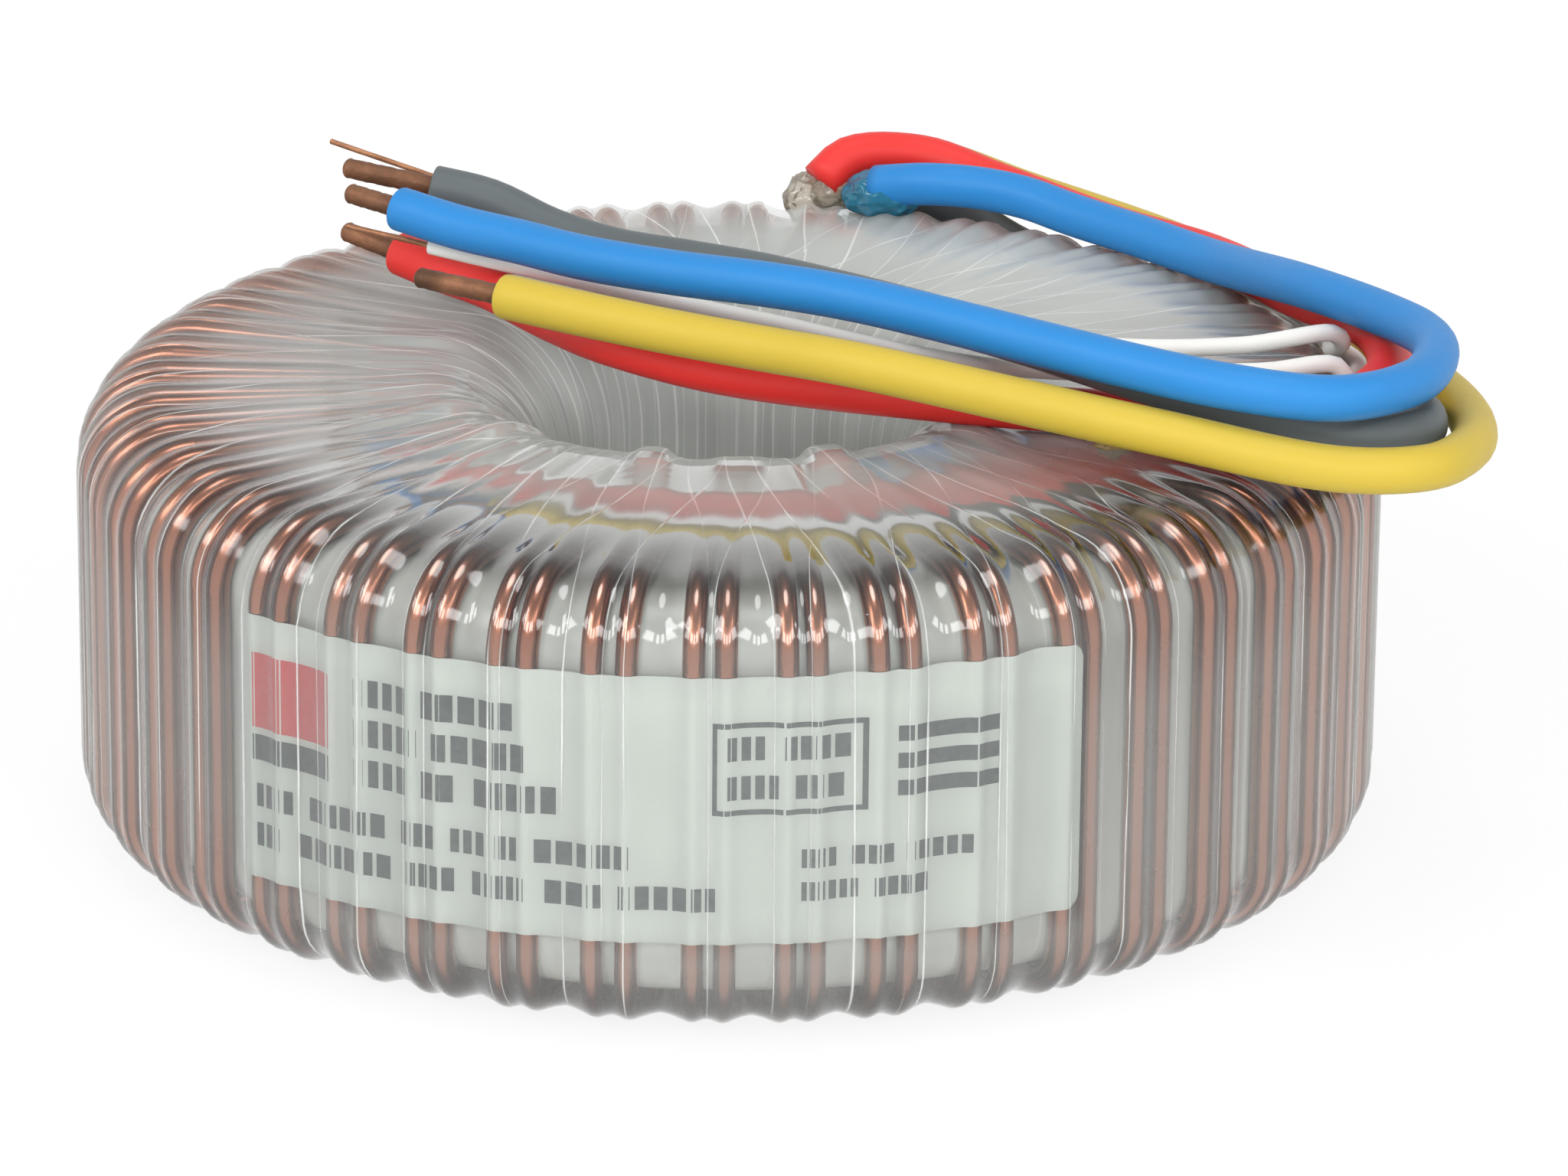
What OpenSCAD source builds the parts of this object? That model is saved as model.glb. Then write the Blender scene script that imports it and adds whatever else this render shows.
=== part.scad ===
// Toroidal mains transformer with two secondaries wound side by side.
// Lengths are in millimetres, angles in degrees. Z is up, and the base stands on z = 0.

/* [Core] */
// Outer diameter of the wound steel strip
core_d = 100; // [92:1:120]
// Bore of the wound steel strip
core_bore_d = 48; // [46:1:56]
// Width of the steel strip, which is the core's height
core_h = 27; // [25:1:40]
// Thickness of the insulating wrap on the core
core_wrap_t = 0.6; // [0.3:0.1:0.8]

/* [Windings] */
// Build of the primary on the outside of the core
primary_side_t = 1.86; // [1.2:0.02:2.6]
// Build of the primary above and below the core
primary_face_t = 2.43; // [1.6:0.01:3.2]
// Build of the primary in the core's bore, where its turns crowd together
primary_bore_t = 3.91; // [3:0.01:4.6]
// Turns of each secondary
turns = 44; // [40:1:44]
// Diameter of the enamelled secondary wire
wire_d = 1.8; // [1.4:0.1:1.8]
// Angle between the two wires of a pair on the outside
pair_angle = 2.75; // [2.5:0.05:3.2]
// Thickness of the milky film over the primary
barrier_t = 0.4; // [0.2:0.1:0.6]

/* [Outer film] */
// Thickness of the clear film
film_t = 0.2; // [0.15:0.05:0.25]
// How far the film sinks between two pairs of wires
valley_depth = 0.75; // [0.4:0.05:0.8]
// How far the film sinks between the wires of a pair
crease_depth = 0.3; // [0.1:0.05:0.35]

/* [Rating label] */
// Height of the label
label_h = 22.6; // [18:0.2:23]
// Thickness of the label
label_t = 0.08; // [0.06:0.01:0.1]

/* [Leads] */
// Diameter of the coloured sleeves
sleeve_d = 3.8; // [3.2:0.1:3.8]
// Diameter of the white primary sleeves
thin_sleeve_d = 1.5; // [1.2:0.1:1.6]
// Diameter of the bare primary wires
thin_wire_d = 0.5; // [0.4:0.05:0.7]

/* [Hidden] */
$fn = 48;

// The stack of layers, from the outside in
label_room = 0.12;                          // film to wire, where the label lies
seat = 0.02;                                // between layers that rest on each other
slack = 0.1;                                // the secondaries stand this far off the flats
nest_room = 0.11;                           // between the wires that nest in the hole
wire_r = wire_d / 2;
cover = film_t + label_room + wire_r;       // film's face to the middle of a wire
rim_drop = 0.35;                            // the crest is higher at the hole than at the rim
pitch = 360 / turns;

// Layers under the wires, from the core's faces out
barrier_r = core_d / 2 + core_wrap_t + primary_side_t + barrier_t;
barrier_hole_r = core_bore_d / 2 - core_wrap_t - primary_bore_t - barrier_t;
barrier_rise = core_h / 2 + core_wrap_t + primary_face_t + barrier_t;

// Corner radii of the film's face
film_top_r = 7.5;
film_base_r = 6;
film_hole_r = 10.5;

// Where the wires of both secondaries run
wall_r = barrier_r + seat + wire_r;         // upright runs on the outside
rim_rise = barrier_rise + slack + wire_r;   // level of the runs at the outer corner, from the middle
run_rise = rim_rise + rim_drop;             // level of the runs at the hole
lean = 2;                                   // slant of the first secondary's top runs
nest_angle = pitch / 2;                     // brings the second wire over the groove in the hole
back_r = barrier_hole_r - seat - wire_r;    // the first secondary in the hole, and the second before it
nest_r = back_r * cos(nest_angle) - sqrt(max(0, (wire_d + nest_room) ^ 2 - (back_r * sin(nest_angle)) ^ 2));
hole_wire_r = [back_r, nest_r];
hole_rise = [rim_rise, run_rise];
first_turn = 168.6;                         // where the windings begin, at the leads

// The film's face, which is the transformer's own size: 110 across, 39 high, with a hole of 31
outer_r = wall_r + cover;
hole_r = nest_r - cover;
mid_z = run_rise + cover;
height = 2 * mid_z;

barrier_corner = film_top_r - cover - wire_r;
barrier_hole_corner = film_hole_r - cover - wire_r;

function polar(r, a, z) = [r * sin(a), -r * cos(a), z];
function unit(v) = v / norm(v);
function mix(p, q, t) = p + (q - p) * t;

// ---------- layers that are rings of one section ----------

// Section of a ring with rounded corners, r0 to r1, as far above the middle as below it
module ring_section(r0, r1, rise, corner0, corner1) {
    square_up(r0 + corner0, r1 - corner1, rise);
    square_up(r0, r0 + corner0, rise - corner0);
    square_up(r1 - corner1, r1, rise - corner1);
    for (s = [-1, 1]) {
        intersection() {
            translate([r0 + corner0, s * (rise - corner0)]) circle(r = corner0);
            translate([r0, s > 0 ? rise - corner0 : -rise]) square([corner0, corner0]);
        }
        intersection() {
            translate([r1 - corner1, s * (rise - corner1)]) circle(r = corner1);
            translate([r1 - corner1, s > 0 ? rise - corner1 : -rise]) square([corner1, corner1]);
        }
    }
}

module square_up(x0, x1, rise) {
    translate([x0, -rise]) square([x1 - x0, 2 * rise]);
}

module ring(r0, r1, rise, corner0, corner1) {
    translate([0, 0, mid_z]) rotate_extrude() ring_section(r0, r1, rise, corner0, corner1);
}

module plain_ring(r0, r1, rise) {
    translate([0, 0, mid_z - rise]) difference() {
        cylinder(r = r1, h = 2 * rise);
        translate([0, 0, -1]) cylinder(r = r0, h = 2 * rise + 2);
    }
}

module core() {
    color([0.45, 0.45, 0.47]) plain_ring(core_bore_d / 2, core_d / 2, core_h / 2);
}

module core_wrap_body() {
    t = core_wrap_t;
    ring(core_bore_d / 2 - t, core_d / 2 + t, core_h / 2 + t, t, t);
}

module core_wrap() {
    color([0.93, 0.92, 0.86]) difference() {
        core_wrap_body();
        plain_ring(core_bore_d / 2, core_d / 2, core_h / 2);
    }
}

// The barrier film's outer face, moved in by t
module barrier_body(t) {
    ring(barrier_hole_r + t, barrier_r - t, barrier_rise - t, barrier_hole_corner - t, barrier_corner - t);
}

module primary_winding() {
    color([0.62, 0.30, 0.18]) difference() {
        barrier_body(barrier_t);
        core_wrap_body();
    }
}

module primary_barrier_film() {
    color([0.86, 0.87, 0.86]) difference() {
        barrier_body(0);
        barrier_body(barrier_t);
    }
}

// ---------- the two secondaries: one wire each, bent at every corner of every turn ----------

swell = 0.03;                               // the bends are this much thicker than the straights
bite = 0.15;                                // and each straight enters its bends by this
bend_r = [film_hole_r - cover, film_hole_r - cover, film_base_r - cover, film_top_r - cover];

// Angle of wire w of turn i on the outside, a little off the even pitch as hand winding is
function stray(i, w) = 0.35 * sin(97 * (i % turns) + 40 * w);
function wall_angle(i, w) = first_turn + i * pitch + w * pair_angle + stray(i + turns, w);
function hole_angle(i, w) = first_turn + i * pitch + lean + w * nest_angle;

// The corners of one turn, from the outer top corner: over, down the hole, under and up again
function turn_corners(i, w) = [
    polar(hole_wire_r[w], hole_angle(i, w), mid_z + hole_rise[w]),
    polar(hole_wire_r[w], hole_angle(i, w), mid_z - hole_rise[w]),
    polar(wall_r, wall_angle(i + 1, w), mid_z - rim_rise),
    polar(wall_r, wall_angle(i + 1, w), mid_z + rim_rise)];

// A secondary starts on the top near its outer corner and ends below that corner
function winding_points(w) = concat(
    [polar(wall_r - bend_r[3] - 1, wall_angle(0, w), mid_z + rim_rise)],
    [for (i = [0 : turns - 2]) each turn_corners(i, w)],
    [for (k = [0 : 2]) turn_corners(turns - 1, w)[k]],
    [polar(wall_r, wall_angle(turns, w), mid_z + rim_rise - bend_r[3] - 1)]);

function turning(p, i) = acos(unit(p[i] - p[i - 1]) * unit(p[i + 1] - p[i]));
function set_back(p, i) = i < 1 || i > len(p) - 2 ? -bite : bend_r[(i - 1) % 4] * tan(turning(p, i) / 2);

module wire_bend(p, i) {
    radius = bend_r[(i - 1) % 4];
    along = unit(p[i] - p[i - 1]);
    axis = unit(cross(along, unit(p[i + 1] - p[i])));
    out = cross(along, axis);
    centre = p[i] - along * set_back(p, i) - out * radius;
    multmatrix([for (k = [0 : 2]) [out[k], along[k], axis[k], centre[k]]])
        rotate_extrude(angle = turning(p, i))
            translate([radius, 0]) circle(d = wire_d + swell);
}

module wire_straight(p, i) {
    along = unit(p[i + 1] - p[i]);
    start = p[i] + along * (set_back(p, i) - bite);
    end = p[i + 1] - along * (set_back(p, i + 1) - bite);
    translate(start) rotate([0, acos(along.z), atan2(along.y, along.x)])
        cylinder(d = wire_d, h = norm(end - start));
}

// Four corners with the straights that lead to them
module wire_turn(p, i) {
    for (k = [4 * i : min(4 * i + 3, len(p) - 2)]) {
        wire_straight(p, k);
        if (k < len(p) - 2) wire_bend(p, k + 1);
    }
}

module secondary_winding(w) {
    p = winding_points(w);
    for (i = [0 : turns - 1]) wire_turn(p, i);
}

module secondary_winding_1() {
    color([0.72, 0.36, 0.22]) secondary_winding(0);
}

module secondary_winding_2() {
    color([0.66, 0.31, 0.19]) secondary_winding(1);
}

// ---------- the clear film, drawn tight over both secondaries ----------

// It is a net of columns, which run round the section, and rows, which run round the ring.
// Each turn has five columns: wire 1, the crease, wire 2, and the two edges of the valley.
columns = 5;
valley_edge = 0.37;
rim_sink = [0, crease_depth, 0, valley_depth, valley_depth];
hole_sink = [0.35, 0.2, 0, 0.2, 0.3];

// Rows sit outside each rounded corner, so that the flats between them touch the round.
// Each is [corner, angle on it, how much it belongs to the hole]
rows = [
    [0, 285, 0], [0, 315, 0], [0, 345, 0],
    [1, 15, 0], [1, 45, 0], [1, 75, 0],
    [2, 105, 0.3], [2, 135, 0.7], [2, 165, 1],
    [3, 202.5, 0.9], [3, 247.5, 0.3]];
row_half_step = [15, 15, 15, 22.5];
crest = rim_rise + cover;
corner_r = [film_base_r, film_top_r, film_hole_r, film_hole_r];
corner_centre = [
    [outer_r - film_base_r, mid_z - crest + film_base_r],
    [outer_r - film_top_r, mid_z + crest - film_top_r],
    [hole_r + film_hole_r, height - film_hole_r],
    [hole_r + film_hole_r, film_hole_r]];

// Under the label the film spans the valleys and sinks less
label_first = 17 * columns + 4;
label_last = 27 * columns + 1;
label_sink = 0.55;
function over_label(k) = k >= label_first && k <= label_last;

// How far a wire has turned away from its upright at radius r, on its straight way to the hole
function drift(r, shift, w) =
    asin(min(1, max(0, (wall_r - r) / (wall_r - hole_wire_r[w]))) * hole_wire_r[w] * sin(shift) / r);
function wire_angle(i, w, j, r) =
    rows[j][0] == 0 ? wall_angle(i, w) + drift(r, hole_angle(i - 1, w) - wall_angle(i, w), w)
    : rows[j][0] == 3 ? wall_angle(i + 1, w) + drift(r, hole_angle(i, w) - wall_angle(i + 1, w), w)
    : wall_angle(i, w) + drift(r, hole_angle(i, w) - wall_angle(i, w), w);
function column_angle(i, c, j, r) =
    c == 0 ? wire_angle(i, 0, j, r)
    : c == 1 ? (wire_angle(i, 0, j, r) + wire_angle(i, 1, j, r)) / 2
    : c == 2 ? wire_angle(i, 1, j, r)
    : mix(wire_angle(i, 1, j, r), wire_angle(i + 1, 0, j, r), c == 3 ? valley_edge : 1 - valley_edge);
function sink(k, j) =
    mix(rim_sink[k % columns], hole_sink[k % columns], rows[j][2])
    * (over_label(k) && (j == 2 || j == 3) ? label_sink : 1);

// Point of column k and row j, at a depth below the film's face
function net_point(k, j, depth) =
    let (corner = rows[j][0], a = rows[j][1],
        reach = corner_r[corner] / cos(row_half_step[corner]) - depth - sink(k, j),
        r = corner_centre[corner][0] + reach * cos(a),
        z = corner_centre[corner][1] + reach * sin(a))
    polar(r, column_angle(floor(k / columns), k % columns, j, r), z);

// The leads leave through a slot in the back, where two turns of the net are left open
net_columns = turns * columns;
slot_row = 4;
function is_slot(k, j) = j == slot_row && (k >= net_columns - columns || k < columns);

// A column that passes the last row goes on as the column of the next turn
function net_index(k, j, side) =
    let (over = j >= len(rows), kk = over ? k + columns : k)
    side * net_columns * len(rows) + (kk + net_columns) % net_columns * len(rows) + (over ? 0 : j);
function skin_quad(k, j, side) = side == 0
    ? [net_index(k, j, 0), net_index(k, j + 1, 0), net_index(k + 1, j + 1, 0), net_index(k + 1, j, 0)]
    : [net_index(k, j, 1), net_index(k + 1, j, 1), net_index(k + 1, j + 1, 1), net_index(k, j + 1, 1)];
function edge_quad(k0, j0, k1, j1) =
    [net_index(k0, j0, 0), net_index(k1, j1, 0), net_index(k1, j1, 1), net_index(k0, j0, 1)];
function split(q) = [[q[0], q[1], q[2]], [q[0], q[2], q[3]]];

function film_faces() = [
    for (k = [0 : net_columns - 1], j = [0 : len(rows) - 1])
        if (!is_slot(k, j)) each concat(split(skin_quad(k, j, 0)), split(skin_quad(k, j, 1))),
    for (k = [net_columns - columns : net_columns + columns - 1])
        each concat(split(edge_quad(k, slot_row, k + 1, slot_row)),
            split(edge_quad(k + 1, slot_row + 1, k, slot_row + 1))),
    each split(edge_quad(net_columns + columns, slot_row, net_columns + columns, slot_row + 1)),
    each split(edge_quad(net_columns - columns, slot_row + 1, net_columns - columns, slot_row))];

module outer_film() {
    points = [for (depth = [0, film_t], k = [0 : net_columns - 1], j = [0 : len(rows) - 1])
        net_point(k, j, depth)];
    color([0.85, 0.90, 0.88, 0.45]) polyhedron(points = points, faces = film_faces());
}

// ---------- the rating label, a paper strip under the film ----------

label_base = 8.4;
label_tilt = 0.9;                           // how much higher its right end is
label_corner = 1.4;

function label_point(k, up, depth) =
    let (low = net_point(k, 2, depth), high = net_point(k, 3, depth),
        t0 = (k - label_first) / (label_last - label_first),
        inset = k == label_first || k == label_last ? label_corner : 0,
        z = label_base + label_tilt * t0 + (up ? label_h - inset : inset))
    mix(low, high, (z - low.z) / (high.z - low.z));

module rating_label() {
    gap = (label_room - label_t) / 2;
    n = label_last - label_first + 1;
    points = [for (k = [label_first : label_last])
        each [label_point(k, false, film_t + gap), label_point(k, true, film_t + gap),
            label_point(k, true, film_t + gap + label_t), label_point(k, false, film_t + gap + label_t)]];
    color([0.80, 0.83, 0.79]) polyhedron(points = points, faces = strip_faces(n, 4));
}

// Faces of a bar of n rings with m points each, closed at both ends
function strip_faces(n, m) = concat(
    [[for (i = [m - 1 : -1 : 0]) i]],
    [for (k = [0 : n - 2], i = [0 : m - 1])
        each split([k * m + i, k * m + (i + 1) % m, (k + 1) * m + (i + 1) % m, (k + 1) * m + i])],
    [[for (i = [0 : m - 1]) (n - 1) * m + i]]);

// ---------- the leads ----------

// Routes from the exit in the back, round the right-hand rim and back over the hole
route_red = [
    [8, 50.5, 39.9], [10.5, 51.8, 41.8], [17, 53, 41.6], [24, 49.8, 40], [33.5, 42, 38.7],
    [42, 34.2, 38.5], [49, 15.5, 40.6], [53.5, 6.5, 41.4], [55.2, -0.5, 41.3], [54.2, -8.5, 41.2],
    [48.5, -16, 41], [34, -17, 41], [15.5, -14.5, 41.5], [-0.5, -10, 42], [-9.8, -4.5, 42.6],
    [-15.1, 3, 42.3], [-20.5, 10.6, 42.6], [-25.1, 15.8, 42.6], [-28.5, 18.6, 43.1]];
route_yellow = [
    [8.5, 54.8, 37.6], [11, 56.6, 39.6], [17, 58.4, 39.8], [27, 55, 37.5], [40, 43, 36.5],
    [50.8, 29.4, 35.4], [56.5, 13.5, 35.4], [59.6, -3, 38.8], [61.2, -16, 40.1], [60, -26, 41.2],
    [56, -33, 42], [49, -34, 42.2], [34, -30, 44], [10.4, -22, 46.7], [2.9, -17, 46.4],
    [-4.7, -12.5, 46.3], [-12.3, -8, 46.4], [-19, -4, 46.6]];
route_blue = [
    [13, 47, 40.6], [17.5, 44.5, 41.6], [21.8, 43.5, 41.6], [25.9, 41.4, 41.4], [30, 38.4, 40.8],
    [35.9, 32.7, 40.6], [41.7, 25, 40.9], [49, 7, 44.3], [54.5, -3, 45.3], [57.5, -10, 45.8],
    [58, -16.5, 46.2], [55.5, -25, 46.6], [49, -31, 47.2], [40, -30.5, 48], [10.5, -13, 49.4],
    [2.9, -9, 49.4], [-4.7, -4.5, 48.9], [-12.5, 0.5, 48.6], [-17.7, 4.3, 48.7], [-23, 8.2, 48.7],
    [-28.3, 11.6, 49.3]];
route_grey = [
    [13, 53, 37.8], [18, 54.6, 37], [27, 53.4, 32.4], [41, 43, 30.6], [52.5, 27, 30.5], [57, 8, 31],
    [57, -2, 34.6], [56.4, -9, 38], [57, -17.3, 41.1], [56, -24.5, 42.2], [51.5, -27, 42.6],
    [37, -22.5, 44.8], [22, -9.8, 45.5], [3, 7, 45], [-3.5, 10, 45.2], [-10.1, 13.5, 45.2],
    [-15.4, 16, 46.1], [-20.7, 17.8, 48.1], [-25.6, 18.8, 49]];
route_white_1 = [
    [10.5, 54, 35.2], [18, 52.8, 34.2], [27, 48.4, 34.6], [38.2, 40.5, 34.6], [47.6, 27.8, 36.2],
    [51.2, 12.5, 37.9], [51, 6, 39.2], [51.6, 2.2, 41.1], [50.6, 0.8, 42.3], [42.5, -2.5, 42.2],
    [28.5, -4.5, 43], [3, 11, 44], [-4.9, 15.5, 43.8], [-11.5, 19, 44.4], [-16.8, 20.8, 45.8],
    [-20.8, 21.6, 47.3], [-23.9, 22, 48.3]];
route_white_2 = [
    [7, 55.3, 33.8], [18, 53.4, 31.5], [27, 49.4, 31.5], [38, 41.4, 32.4], [47.7, 29.2, 34.2],
    [52.8, 14, 36.2], [53.3, 5, 37.9], [52.4, -1, 38.7], [51.8, -5, 39.8], [50.6, -5.4, 41.5],
    [44, -7.5, 41.6], [22, -8.5, 42.2], [3, 1, 42.9], [-4.8, 3.5, 43.7], [-10, 5.5, 44.3],
    [-15.2, 7.5, 44.9], [-20.4, 9.3, 45.5], [-25.6, 11.6, 46]];

// Lengths of the bare ends, in the order of the routes above
bare_length = [6.3, 8.6, 5.3, 8, 11.3, 8];

lead_sides = 8;
function ring_axis(p, i) = unit(p[min(i + 1, len(p) - 1)] - p[max(i - 1, 0)]);
function lead_ring(p, i, r) =
    let (along = ring_axis(p, i), side = unit(cross(along, [0, 0, 1])), up = cross(side, along))
    [for (k = [0 : lead_sides - 1]) p[i] + r * (side * cos(45 * k + 22.5) + up * sin(45 * k + 22.5))];

module lead(p, d) {
    points = [for (i = [0 : len(p) - 1]) each lead_ring(p, i, d / 2)];
    polyhedron(points = points, faces = strip_faces(len(p), lead_sides));
}

module lead_red() { color([0.78, 0.12, 0.13]) lead(route_red, sleeve_d); }
module lead_yellow() { color([0.88, 0.78, 0.25]) lead(route_yellow, sleeve_d); }
module lead_blue() { color([0.12, 0.42, 0.78]) lead(route_blue, sleeve_d); }
module lead_grey() { color([0.33, 0.36, 0.37]) lead(route_grey, sleeve_d); }
module lead_white_1() { color([0.85, 0.85, 0.82]) lead(route_white_1, thin_sleeve_d); }
module lead_white_2() { color([0.85, 0.85, 0.82]) lead(route_white_2, thin_sleeve_d); }

// A bare end: straight wire with a rounded tip, from the last ring of its sleeve
module wire_end(p, d, length) {
    along = ring_axis(p, len(p) - 1);
    translate(p[len(p) - 1]) rotate([0, acos(along.z), atan2(along.y, along.x)]) rotate_extrude()
        intersection() {
            union() {
                square([d / 2, length - d / 2]);
                translate([0, length - d / 2]) circle(d = d);
            }
            square([d, length]);
        }
}

module wire_end_red() { color([0.45, 0.27, 0.18]) wire_end(route_red, wire_d, bare_length[0]); }
module wire_end_yellow() { color([0.45, 0.27, 0.18]) wire_end(route_yellow, wire_d, bare_length[1]); }
module wire_end_blue() { color([0.45, 0.27, 0.18]) wire_end(route_blue, wire_d, bare_length[2]); }
module wire_end_grey() { color([0.45, 0.27, 0.18]) wire_end(route_grey, wire_d, bare_length[3]); }
module wire_end_white_1() { color([0.5, 0.3, 0.2]) wire_end(route_white_1, thin_wire_d, bare_length[4]); }
module wire_end_white_2() { color([0.5, 0.3, 0.2]) wire_end(route_white_2, thin_wire_d, bare_length[5]); }

// ---------- the resin that holds the leads where they leave the film ----------

// A smooth body just outside the film, with the leads' way out above it
module film_envelope() {
    room = 0.03;
    translate([0, 0, mid_z]) rotate_extrude()
        ring_section(hole_r - room, outer_r + room, height / 2 + room, film_hole_r, film_top_r);
}

module exit_resin() {
    color([0.72, 0.62, 0.45]) difference() {
        union() {
            translate([8.5, outer_r - 2.5, height - 2]) sphere(d = 9.6);
            translate([12.5, outer_r - 4.5, height - 1.2]) sphere(d = 8.4);
        }
        film_envelope();
        for (p = [route_red, route_yellow, route_blue, route_grey]) socket(p, sleeve_d);
        for (p = [route_white_1, route_white_2]) socket(p, thin_sleeve_d);
    }
}

// The hole that the start of a lead sits in, flat at the lead's first ring
module socket(p, d) {
    along = ring_axis(p, 0);
    translate(p[0]) rotate([0, acos(along.z), atan2(along.y, along.x)]) cylinder(d = d + 0.04, h = 12);
}

core();
core_wrap();
primary_winding();
primary_barrier_film();
secondary_winding_1();
secondary_winding_2();
rating_label();
outer_film();
exit_resin();
lead_red();
lead_yellow();
lead_blue();
lead_grey();
lead_white_1();
lead_white_2();
wire_end_red();
wire_end_yellow();
wire_end_blue();
wire_end_grey();
wire_end_white_1();
wire_end_white_2();
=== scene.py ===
import math
import bmesh
import bpy
import numpy as np
from mathutils import Matrix, Vector, noise


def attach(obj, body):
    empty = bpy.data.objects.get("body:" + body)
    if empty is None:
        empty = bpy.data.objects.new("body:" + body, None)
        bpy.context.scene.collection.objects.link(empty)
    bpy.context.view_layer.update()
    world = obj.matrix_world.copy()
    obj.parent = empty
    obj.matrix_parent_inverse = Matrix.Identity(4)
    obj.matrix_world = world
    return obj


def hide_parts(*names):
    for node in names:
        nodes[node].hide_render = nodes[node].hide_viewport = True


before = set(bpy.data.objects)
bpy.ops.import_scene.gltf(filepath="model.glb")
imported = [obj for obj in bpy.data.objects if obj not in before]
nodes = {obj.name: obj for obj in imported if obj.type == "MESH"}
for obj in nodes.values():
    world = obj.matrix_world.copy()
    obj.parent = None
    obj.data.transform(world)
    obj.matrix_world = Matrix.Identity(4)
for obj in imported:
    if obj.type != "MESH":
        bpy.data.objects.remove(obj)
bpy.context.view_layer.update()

MM = 0.001

# ---------- sizes that the source gives, in millimetres and degrees ----------
OUTER_R, HOLE_R, HEIGHT, MID_Z = 55.0, 15.5, 39.0, 19.5
TURNS, WIRE_R, FILM_T, COVER = 44, 0.9, 0.2, 1.22
PITCH, PAIR, FIRST, LEAN = 360 / 44, 2.75, 168.6, 2.0
CREST = 19.15                      # top of the crests at the rim, from the middle
NEST = 1.45                        # in the hole, wire 1 lies this much behind wire 2
WALL_R, HOLE_WIRE_R = OUTER_R - COVER, (HOLE_R + COVER + NEST, HOLE_R + COVER)
BASE_ROUND, RIM_ROUND, HOLE_ROUND = 6, 7.5, 10.5
# the film section's round corners: centre radius and height, round, first angle
CORNERS = [(OUTER_R - BASE_ROUND, MID_Z - CREST + BASE_ROUND, BASE_ROUND, 270),
           (OUTER_R - RIM_ROUND, MID_Z + CREST - RIM_ROUND, RIM_ROUND, 0),
           (HOLE_R + HOLE_ROUND, HEIGHT - HOLE_ROUND, HOLE_ROUND, 90),
           (HOLE_R + HOLE_ROUND, HOLE_ROUND, HOLE_ROUND, 180)]

# the leads, as the source has them: diameter, and the points from the exit to the sleeve's end
ROUTES = {
    "red": (3.8, [
        [8, 50.5, 39.9], [10.5, 51.8, 41.8], [17, 53, 41.6], [24, 49.8, 40], [33.5, 42, 38.7],
        [42, 34.2, 38.5], [49, 15.5, 40.6], [53.5, 6.5, 41.4], [55.2, -0.5, 41.3],
        [54.2, -8.5, 41.2], [48.5, -16, 41], [34, -17, 41], [15.5, -14.5, 41.5], [-0.5, -10, 42],
        [-9.8, -4.5, 42.6], [-15.1, 3, 42.3], [-20.5, 10.6, 42.6], [-25.1, 15.8, 42.6],
        [-28.5, 18.6, 43.1]]),
    "yellow": (3.8, [
        [8.5, 54.8, 37.6], [11, 56.6, 39.6], [17, 58.4, 39.8], [27, 55, 37.5], [40, 43, 36.5],
        [50.8, 29.4, 35.4], [56.5, 13.5, 35.4], [59.6, -3, 38.8], [61.2, -16, 40.1],
        [60, -26, 41.2], [56, -33, 42], [49, -34, 42.2], [34, -30, 44], [10.4, -22, 46.7],
        [2.9, -17, 46.4], [-4.7, -12.5, 46.3], [-12.3, -8, 46.4], [-19, -4, 46.6]]),
    "blue": (3.8, [
        [13, 47, 40.6], [17.5, 44.5, 41.6], [21.8, 43.5, 41.6], [25.9, 41.4, 41.4],
        [30, 38.4, 40.8], [35.9, 32.7, 40.6], [41.7, 25, 40.9], [49, 7, 44.3], [54.5, -3, 45.3],
        [57.5, -10, 45.8], [58, -16.5, 46.2], [55.5, -25, 46.6], [49, -31, 47.2],
        [40, -30.5, 48], [10.5, -13, 49.4], [2.9, -9, 49.4], [-4.7, -4.5, 48.9],
        [-12.5, 0.5, 48.6], [-17.7, 4.3, 48.7], [-23, 8.2, 48.7], [-28.3, 11.6, 49.3]]),
    "grey": (3.8, [
        [13, 53, 37.8], [18, 54.6, 37], [27, 53.4, 32.4], [41, 43, 30.6], [52.5, 27, 30.5],
        [57, 8, 31], [57, -2, 34.6], [56.4, -9, 38], [57, -17.3, 41.1], [56, -24.5, 42.2],
        [51.5, -27, 42.6], [37, -22.5, 44.8], [22, -9.8, 45.5], [3, 7, 45], [-3.5, 10, 45.2],
        [-10.1, 13.5, 45.2], [-15.4, 16, 46.1], [-20.7, 17.8, 48.1], [-25.6, 18.8, 49]]),
    "white_1": (1.5, [
        [10.5, 54, 35.2], [18, 52.8, 34.2], [27, 48.4, 34.6], [38.2, 40.5, 34.6],
        [47.6, 27.8, 36.2], [51.2, 12.5, 37.9], [51, 6, 39.2], [51.6, 2.2, 41.1],
        [50.6, 0.8, 42.3], [42.5, -2.5, 42.2], [28.5, -4.5, 43], [3, 11, 44], [-4.9, 15.5, 43.8],
        [-11.5, 19, 44.4], [-16.8, 20.8, 45.8], [-20.8, 21.6, 47.3], [-23.9, 22, 48.3]]),
    "white_2": (1.5, [
        [7, 55.3, 33.8], [18, 53.4, 31.5], [27, 49.4, 31.5], [38, 41.4, 32.4],
        [47.7, 29.2, 34.2], [52.8, 14, 36.2], [53.3, 5, 37.9], [52.4, -1, 38.7],
        [51.8, -5, 39.8], [50.6, -5.4, 41.5], [44, -7.5, 41.6], [22, -8.5, 42.2], [3, 1, 42.9],
        [-4.8, 3.5, 43.7], [-10, 5.5, 44.3], [-15.2, 7.5, 44.9], [-20.4, 9.3, 45.5],
        [-25.6, 11.6, 46]]),
}
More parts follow.
